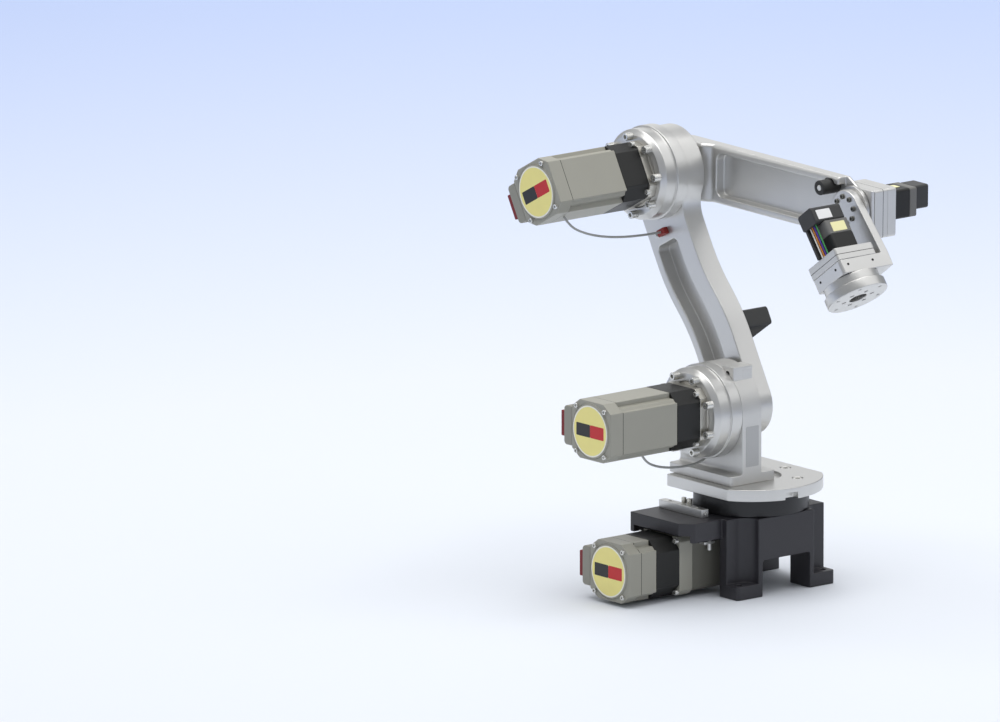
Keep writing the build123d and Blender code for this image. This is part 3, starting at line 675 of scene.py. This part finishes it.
class ROBOT_OT_base(bpy.types.Operator):
    """Finish the base casting, its stop and the base drive"""

    bl_idname = "robot.base"
    bl_label = "Base"

    def execute(self, context):
        finishes = context.scene.robot_finishes
        casting = powder_paint("charcoal_powder_coat", finishes.casting, 0.42, 1.4)
        bar = milled_aluminium("milled_stop_bar", finishes.aluminium, (0.05, 1, 1))
        pins = blasted_aluminium("ground_pin_steel", linear("E4E1D6"), 0.28)
        soften("base_casting", casting, 0.9 * MM, segments=3)
        soften("base_stop_bar", bar)
        soften("base_stop_pins", pins, 0.4 * MM)
        finish_motor("base", BASE_MOTOR_FRAME, finishes)
        flange_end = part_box("base_gear_case")[0].y + FLANGE_SEAM
        flange = motor_paint("base_gear_flange", finishes.motor, [flange_end])
        # The case behind the flange gets the same motor paint at half brightness: painted shade on the case
        case = motor_paint("base_gear_case", dimmed(finishes.motor, 0.5), [])
        soften("base_gear_case", flange, 0.7 * MM, 3, case, lambda centre: centre.y > flange_end)
        return {"FINISHED"}


class ROBOT_OT_turret(bpy.types.Operator):
    """Finish the turntable, the pedestal and the shoulder drive"""

    bl_idname = "robot.turret"
    bl_label = "Turret"

    def execute(self, context):
        finishes = context.scene.robot_finishes
        silver = blasted_aluminium("blasted_pedestal", finishes.aluminium)
        soften("turntable_ring", powder_paint("turntable_black", linear("1F1F21"), 0.4, 1.1))
        milled = milled_aluminium("milled_turntable", finishes.aluminium, (1, 0.04, 1))
        soften("turntable_plate", milled, 0.8 * MM)
        soften("shoulder_pedestal", silver, 0.7 * MM)
        soften("shoulder_stop", silver, 0.9 * MM)
        finish_drive("shoulder", SHOULDER_FRAME, finishes)
        return {"FINISHED"}


def finish_drive(name, link, finishes):
    """Finish the ring, gear case and motor of one large joint drive."""
    ring = blasted_aluminium(name + "_ring_aluminium", finishes.aluminium, 0.3)
    soften(name + "_drive_ring", ring, 0.6 * MM)
    plating = powder_paint(name + "_gear_plating", finishes.gear, 0.3, 1.0, 0.9)
    soften(name + "_gear_case", plating, 0.6 * MM)
    finish_motor(name, link, finishes)


def finish_motor(name, link, finishes):
    """Finish one motor: painted housing, black stator, and a socket with its red plug."""
    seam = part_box(name + "_motor_housing")[0].y + HOUSING_SEAM
    paint = motor_paint(name + "_motor_paint", finishes.motor, [seam])
    soften(name + "_motor_housing", paint, 0.8 * MM, 3)
    soften(name + "_motor_stator", stacked_plates(name + "_stator_plates", finishes.stator, (0, 1, 0)))
    socket = powder_paint(name + "_socket_paint", dimmed(finishes.motor, 0.86), 0.5, 1.2)
    plug = moulded(name + "_plug_nylon", linear("7C1D22"), 0.5)
    back = link.inverted()
    soften(
        name + "_motor_connector", socket, 0.8 * MM, 2, plug, lambda centre: (back @ centre).x < SOCKET_END
    )


class ROBOT_OT_links(bpy.types.Operator):
    """Finish the lower arm, the elbow drive and the forearm"""

    bl_idname = "robot.links"
    bl_label = "Lower arm and forearm"

    def execute(self, context):
        finishes = context.scene.robot_finishes
        arm = blasted_aluminium("blasted_lower_arm", finishes.aluminium, 0.34)
        soften("lower_arm_link", arm, 1.2 * MM, segments=3)
        soften("lower_arm_bumper", moulded("bumper_rubber", linear("363635"), 0.55), 2.0 * MM, segments=3)
        soften("elbow_lead_clip", moulded("clip_nylon", linear("8E2A26"), 0.5), 0.8 * MM)
        finish_drive("elbow", ELBOW_FRAME, finishes)
        channel = blasted_aluminium("blasted_forearm", finishes.aluminium, 0.36)
        soften("forearm_channel", channel, 1.4 * MM, segments=3)
        soften("wrist_stop_knob", moulded("knob_rubber", linear("2C2C2B"), 0.5), 1.0 * MM)
        return {"FINISHED"}


class ROBOT_OT_wrist(bpy.types.Operator):
    """Finish the wrist drive, the bracket and the tool drive"""

    bl_idname = "robot.wrist"
    bl_label = "Wrist and tool"

    def execute(self, context):
        finishes = context.scene.robot_finishes
        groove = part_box("pitch_case")[0].y + PITCH_SEAM
        block = blasted_aluminium("blasted_drive_block", finishes.aluminium, 0.42, (0, 1, 0), [groove])
        soften("pitch_case", block, 0.6 * MM)
        soften("pitch_plate", block, 0.6 * MM)
        joint = TOOL_AXIS.dot(at(WRIST_FRAME, 0, 0, TOOL_SEAM))
        stack = blasted_aluminium("blasted_tool_block", finishes.aluminium, 0.42, TOOL_AXIS, [joint])
        soften("tool_case", stack, 0.6 * MM)
        soften("pitch_table", milled_aluminium("turned_disc", finishes.aluminium, (1, 0.05, 1)))
        soften("wrist_bracket", blasted_aluminium("blasted_bracket", finishes.aluminium, 0.3), 0.8 * MM)
        turned = milled_aluminium("turned_flange", finishes.aluminium, (1, 1, 0.06))
        soften("tool_table", turned, 0.6 * MM)
        soften("tool_flange", turned, 0.6 * MM, segments=1)
        for name, axis in (("pitch", (0, 1, 0)), ("tool", TOOL_AXIS)):
            plates = stacked_plates(name + "_stator_plates", finishes.stator, axis)
            soften(name + "_motor_stator", plates, 0.8 * MM)
        plastic = moulded("black_nylon", linear("343434"), 0.45)
        soften("pitch_motor_cap", plastic, 1.0 * MM)
        soften("tool_motor_cap", plastic, 0.8 * MM)
        soften("tool_wire_cover", plastic, 0.5 * MM)
        band = moulded("bumpy_band", linear("6C6B68"), 0.5, 2.2)
        soften("pitch_motor_band", band, 0.8 * MM)
        soften("tool_motor_band", band, 0.8 * MM)
        wires = frame["nodes"]["tool_motor_wires"].data
        wires.materials.clear()
        wires.materials.append(wire_colours("wire_insulation"))
        return {"FINISHED"}


class ROBOT_OT_screws(bpy.types.Operator):
    """Set the screws of the drives, bracket, turntable and motors"""

    bl_idname = "robot.screws"
    bl_label = "Screws"

    def execute(self, context):
        sizes = context.scene.robot_screws
        steel = blasted_aluminium("zinc_plated_screw", linear("DAD9D4"), 0.25)
        black = powder_paint("blackened_screw", linear("2A2927"), 0.35, 0.8, 0.6)
        ring_kind = screw_sizes(sizes.ring_head, sizes.ring_height)
        corner_kind = screw_sizes(sizes.corner_head, 4.0 * MM)
        cap_kind = screw_sizes(5.0 * MM, 2.6 * MM)
        drives = (
            ("shoulder", SHOULDER_FRAME, "turret"),
            ("elbow", ELBOW_FRAME, "lower_arm"),
        )
        for name, link, body in drives:
            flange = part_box(name + "_gear_case")[0].y / MM
            face = flange + RING_SETBACK
            ring = [(at(link, x, face, z), NEAR) for x, z in around(sizes.ring_count, RING_SCREW_RADIUS)]
            set_screws(name + "_ring_screws", body, ring, ring_kind, steel)
            corners = self.corners(link, (DRIVE_CORNER, DRIVE_CORNER), flange)
            set_screws(name + "_corner_screws", body, corners, corner_kind, steel)
            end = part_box(name + "_motor_housing")[0].y / MM + CAP_SETBACK
            corners = self.corners(link, CAP_CORNER, end)
            set_screws(name + "_cap_screws", body, corners, cap_kind, steel)
        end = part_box("base_motor_housing")[0].y / MM + CAP_SETBACK
        corners = self.corners(BASE_MOTOR_FRAME, CAP_CORNER, end)
        set_screws("base_cap_screws", "base", corners, cap_kind, steel)
        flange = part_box("base_gear_case")[0].y / MM
        corners = self.corners(BASE_MOTOR_FRAME, (BASE_CORNER, BASE_CORNER), flange)
        set_screws("base_corner_screws", "base", corners, corner_kind, steel)
        self.bracket(sizes, black)
        self.turntable(steel, black)
        return {"FINISHED"}

    def corners(self, link, reach, level):
        """Four corners of a motor face that looks to the near side."""
        return [(at(link, x * reach[0], level, z * reach[1]), NEAR) for x in (-1, 1) for z in (-1, 1)]

    def bracket(self, sizes, black):
        """Screws of the bracket's head and of the tool drive's block."""
        head = [
            (at(WRIST_FRAME, x, BRACKET_FACE, z), NEAR)
            for x, z in around(sizes.bracket_count, BRACKET_SCREW_RADIUS)
        ]
        # These screws are a darker steel than the others: painted shade, standing in for the shadows round
        # their heads
        dark = blasted_aluminium("shade_darkened_screw", linear("77766F"), 0.35)
        kind = screw_sizes(5.2 * MM, 1.8 * MM, 0.3)
        set_screws("bracket_head_screws", "wrist", head, kind, dark)
        small = screw_sizes(2.6 * MM, 0.35 * MM, 0.3, 0.1 * MM)
        places = [(at(WRIST_FRAME, BLOCK_FRONT, y, BLOCK_LEVEL), WRIST_FORWARD) for y in (-22, 10)]
        places += [(at(WRIST_FRAME, x, BLOCK_SIDE, BLOCK_LEVEL), NEAR) for x in (-14, 14)]
        set_screws("tool_block_screws", "wrist", places, small, black)

    def turntable(self, steel, black):
        """Screws in the turntable's seats, the two stops and the lead's clip."""
        seats = [
            (TURN_AXIS + MM * Vector((SEAT_RADIUS * math.cos(t), SEAT_RADIUS * math.sin(t), SEAT_LEVEL)), UP)
            for t in (math.radians(turn) for turn in SEAT_TURNS)
        ]
        set_screws("turntable_screws", "turret", seats, screw_sizes(9.6 * MM, 4.4 * MM), steel)
        low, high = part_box("shoulder_stop")
        face = Vector(((low.x + high.x) / 2, low.y, (low.z + high.z) / 2))
        flush = screw_sizes(5.0 * MM, 0.5 * MM, 0.3, 0.1 * MM)
        set_screws("shoulder_stop_screw", "turret", [(face, NEAR)], flush, black)
        low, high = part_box("base_stop_bar")
        middle = (low + high) / 2
        ends = [
            (Vector((high.x, middle.y, middle.z)), Vector((1, 0, 0))),
            (Vector((high.x - BAR_MARGIN * MM, middle.y, high.z)), UP),
            (Vector((low.x + BAR_MARGIN * MM, middle.y, high.z)), UP),
        ]
        tiny = screw_sizes(3.6 * MM, 0.4 * MM, 0.3, 0.1 * MM)
        set_screws("stop_bar_screws", "base", ends, tiny, steel)
        clip = [(at(ELBOW_FRAME, -28.5, -8, -58.5), NEAR)]
        set_screws("clip_screw", "lower_arm", clip, screw_sizes(6.0 * MM, 2.6 * MM), steel)


class ROBOT_OT_labels(bpy.types.Operator):
    """Put on the labels, the small plates and the small forms of the stop, knob and gear case"""

    bl_idname = "robot.labels"
    bl_label = "Labels and small forms"

    def execute(self, context):
        finishes = context.scene.robot_finishes
        film = [
            printed_film("label_rim", linear("F2EFE2")),
            printed_film("label_yellow", finishes.label),
            printed_film("label_black", linear("1B1B1B")),
            printed_film("label_red", linear("C4141A")),
        ]
        motors = (("shoulder", SHOULDER_FRAME), ("elbow", ELBOW_FRAME), ("base", BASE_MOTOR_FRAME))
        for name, link in motors:
            self.round_label(name, link, film)
        self.small_plates()
        self.stop_web(finishes)
        self.knob_insert()
        self.case_tab(finishes)
        return {"FINISHED"}

    def round_label(self, name, link, film):
        """Yellow disc with a pale rim and a level strip, dark on one side and red on the other."""
        housing = name + "_motor_housing"
        place = looking(at(link, 0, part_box(housing)[0].y / MM, 0), NEAR, link.to_3x3() @ UP)
        rim, disc = LABEL_RADIUS * MM, LABEL_DISC_RADIUS * MM
        shapes = [
            lathe([(rim, -0.05 * MM), (rim, 0.1 * MM)], LABEL_SIDES),
            lathe([(disc, 0.08 * MM), (disc, 0.15 * MM)], LABEL_SIDES),
            slab(STRIP_WIDTH, STRIP_HEIGHT, 0.12, 0.2, 1, (-STRIP_MIDDLE, 0)),
            slab(STRIP_WIDTH, STRIP_HEIGHT, 0.12, 0.2, 1, (STRIP_MIDDLE, 0)),
        ]
        new_piece(name + "_motor_label", joined(shapes, place), BODY_OF[housing], film)

    def stop_web(self, finishes):
        """Body of the shoulder stop under its lid, down to the round head of the pillar."""
        low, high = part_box("shoulder_stop")
        silver = blasted_aluminium("blasted_stop_web", finishes.aluminium)
        foot = Vector(((low.x + high.x) / 2, (low.y + high.y) / 2, low.z))
        size = (high - low) / MM
        shape = slab(size.x - 0.6, size.y - 0.6, 0, size.z - 1, 0.8)
        place = Matrix.Translation(foot)
        new_piece("shoulder_stop_web", placed(shape, place), "turret", [silver])

    def knob_insert(self):
        """Steel insert in the near end of the wrist's stop knob."""
        low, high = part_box("wrist_stop_knob")
        place = looking(((low.x + high.x) / 2, low.y + 1.5 * MM, (low.z + high.z) / 2), NEAR, UP)
        steel = blasted_aluminium("turned_insert", linear("DAD9D4"), 0.3)
        shape = lathe([(2.9 * MM, 0), (2.9 * MM, 1.3 * MM), (2.4 * MM, 1.7 * MM)], 32)
        new_piece("wrist_knob_insert", placed(shape, place), "forearm", [steel])

    def case_tab(self, finishes):
        """Small tab with its screw at the side of the base drive's gear case."""
        low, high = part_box("base_gear_case")
        steel = blasted_aluminium("tab_steel", finishes.aluminium, 0.32)
        place = looking((high.x, low.y + 34 * MM, high.z - 10 * MM), UP, (0, 1, 0))
        shapes = [
            slab(9, 14, 0, 2.4, 1, (2.5, 0)),
            lathe([(2.4 * MM, -7 * MM), (2.4 * MM, 4 * MM), (2.0 * MM, 4.4 * MM)], 24),
        ]
        shapes[1].transform(Matrix.Translation((3.6 * MM, 2 * MM, 0)))
        new_piece("base_case_tab", joined(shapes, place), "base", [steel, steel])

    def small_plates(self):
        """Bare plate on the pedestal and stickers on the small motors."""
        white = printed_film("sticker_white", linear("E6E5E3"))
        cream = printed_film("sticker_cream", linear("ECE6AE"))
        pale = blasted_aluminium("bare_plate", linear("B9B9B8"), 0.5)
        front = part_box("shoulder_pedestal")[1].x
        plate_place = looking((front, -25.2 * MM, 149 * MM), (1, 0, 0), UP)
        shape = slab(16.6, 41, -0.1, 0.2, 1)
        new_piece("pedestal_plate", placed(shape, plate_place), "turret", [pale])
        up = WRIST_FRAME.to_3x3() @ UP
        on_cap = looking(at(WRIST_FRAME, 18, -19, -6.5), WRIST_FORWARD, up)
        on_band = looking(at(WRIST_FRAME, 21, -10, -23), WRIST_FORWARD, up)
        low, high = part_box("pitch_motor_stator")
        on_top = looking(((low.x + high.x) / 2, (low.y + high.y) / 2, high.z), UP, (1, 0, 0))
        stickers = (
            ("tool_cap_sticker", "wrist", "black_plastic", white, on_cap),
            ("tool_band_sticker", "wrist", "gear_steel", cream, on_band),
            ("pitch_motor_sticker", "forearm", "stator_black", cream, on_top),
        )
        for name, body, slot, film, place in stickers:
            new_piece(name, placed(slab(18, 10, -0.2, 0.15, 0.6), place), body, [film])


class ROBOT_OT_leads(bpy.types.Operator):
    """Hang the leads of the shoulder and elbow motors"""

    bl_idname = "robot.leads"
    bl_label = "Leads"

    def execute(self, context):
        sheath = moulded("lead_sheath", linear("A5A5A2"), 0.4)
        self.lead("shoulder_lead", [at(SHOULDER_FRAME, *point) for point in SHOULDER_ROUTE], sheath)
        self.lead("elbow_lead", [at(ELBOW_FRAME, *point) for point in ELBOW_ROUTE], sheath)
        return {"FINISHED"}

    def lead(self, node, route, sheath):
        """Round lead on one smooth line through its route."""
        curve = bpy.data.curves.new(node + "_line", "CURVE")
        curve.dimensions = "3D"
        curve.bevel_depth = 1.2 * MM
        curve.bevel_resolution = 4
        curve.use_fill_caps = True
        curve.resolution_u = 12
        line = curve.splines.new("NURBS")
        line.points.add(len(route) - 1)
        for point, place in zip(line.points, route):
            point.co = (*place, 1)
        line.order_u = 3
        line.use_endpoint_u = True
        curve.materials.append(sheath)
        piece = bpy.data.objects.new(node + "_line", curve)
        bpy.context.scene.collection.objects.link(piece)
        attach(piece, BODY_OF[node])
        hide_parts(node)


class ROBOT_OT_stage(bpy.types.Operator):
    """Make the floor, the light and the camera"""

    bl_idname = "robot.stage"
    bl_label = "Stage"

    def execute(self, context):
        stage = context.scene.robot_stage
        self.floor(stage)
        self.lights(context.scene)
        self.camera(context.scene, stage)
        return {"FINISHED"}

    def floor(self, stage):
        """Pale round floor, cooler far from the arm."""
        material, tree, shader, place = surface("pale_floor", {"Roughness": 0.7})
        away = add(tree, "ShaderNodeVectorMath", {"operation": "LENGTH"}, {0: place}).outputs["Value"]
        cool = add(
            tree, "ShaderNodeMapRange", {"From Min": 1.0, "From Max": 3.0}, {"Value": away}
        ).outputs["Result"]
        colour = add(
            tree, "ShaderNodeMix", {"data_type": "RGBA", 6: stage.floor, 7: stage.backdrop}, {0: cool}
        ).outputs[2]
        tree.links.new(colour, shader.inputs["Base Color"])
        disc = bmesh.new()
        bmesh.ops.create_circle(disc, cap_ends=True, segments=96, radius=FLOOR_RADIUS)
        mesh = placed(disc, Matrix())
        mesh.materials.append(material)
        floor = bpy.data.objects.new("floor", mesh)
        bpy.context.scene.collection.objects.link(floor)

    def lights(self, scene):
        """Wide light from above, a key from behind on the right, weak fill and back
        lights and a dim sky."""
        for name, place, size, power in LIGHTS:
            lamp = bpy.data.lights.new(name, "AREA")
            lamp.size = size
            lamp.energy = power
            holder = bpy.data.objects.new(name, lamp)
            holder.location = place
            aim = LIGHT_AIM - Vector(place)
            holder.rotation_euler = aim.to_track_quat("-Z", "Y").to_euler()
            scene.collection.objects.link(holder)
        world = bpy.data.worlds.new("soft_sky")
        world.use_nodes = True
        sky = world.node_tree.nodes["Background"]
        sky.inputs["Color"].default_value = linear("F2F6FC")
        sky.inputs["Strength"].default_value = SKY_STRENGTH
        scene.world = world
        scene.view_settings.view_transform = "Standard"

    def camera(self, scene, stage):
        """Camera at the photograph's angle, with the base axis at its place in the frame."""
        turn, rise = math.radians(stage.azimuth), math.radians(stage.elevation)
        back = Vector((math.sin(turn) * math.cos(rise), -math.cos(turn) * math.cos(rise), math.sin(rise)))
        right = Vector((math.cos(turn), math.sin(turn), 0))
        up = back.cross(right)
        lens = bpy.data.cameras.new("camera")
        lens.sensor_width = SENSOR_MM
        lens.lens = SENSOR_MM * stage.distance / (PHOTO_WIDTH * PIXEL)
        lens.clip_end = 60.0
        eye = bpy.data.objects.new("camera", lens)
        aside, below = AXIS_PIXEL[0] - PHOTO_WIDTH / 2, AXIS_PIXEL[1] - PHOTO_HEIGHT / 2
        centre = TURN_AXIS - right * aside * PIXEL + up * below * PIXEL
        eye.location = centre + back * stage.distance
        eye.rotation_mode = "QUATERNION"
        eye.rotation_quaternion = (-back).to_track_quat("-Z", "Y")
        scene.collection.objects.link(eye)
        scene.camera = eye


class ROBOT_PT_panel(bpy.types.Panel):
    """Steps that dress the arm"""

    bl_label = "Robot arm"
    bl_idname = "ROBOT_PT_panel"
    bl_space_type = "VIEW_3D"
    bl_region_type = "UI"
    bl_category = "Robot arm"

    def draw(self, context):
        for step in STEPS:
            self.layout.operator(step.bl_idname)
        for group in (context.scene.robot_finishes, context.scene.robot_screws, context.scene.robot_stage):
            for name in group.__annotations__:
                self.layout.prop(group, name)


STEPS = (
    ROBOT_OT_stage, ROBOT_OT_leads, ROBOT_OT_base, ROBOT_OT_turret, ROBOT_OT_links, ROBOT_OT_wrist,
    ROBOT_OT_screws, ROBOT_OT_labels,
)
CLASSES = (RobotFinishes, RobotScrews, RobotStage, *STEPS, ROBOT_PT_panel)


def register():
    for kind in CLASSES:
        bpy.utils.register_class(kind)
    bpy.types.Scene.robot_finishes = bpy.props.PointerProperty(type=RobotFinishes)
    bpy.types.Scene.robot_screws = bpy.props.PointerProperty(type=RobotScrews)
    bpy.types.Scene.robot_stage = bpy.props.PointerProperty(type=RobotStage)


def unregister():
    del bpy.types.Scene.robot_finishes
    del bpy.types.Scene.robot_screws
    del bpy.types.Scene.robot_stage
    for kind in reversed(CLASSES):
        bpy.utils.unregister_class(kind)


def main():
    """Dress the arm."""
    register()
    bpy.ops.robot.stage()
    bpy.ops.robot.leads()
    bpy.ops.robot.base()
    bpy.ops.robot.turret()
    bpy.ops.robot.links()
    bpy.ops.robot.wrist()
    bpy.ops.robot.screws()
    bpy.ops.robot.labels()
    bpy.context.view_layer.update()


if __name__ == "__main__":
    main()
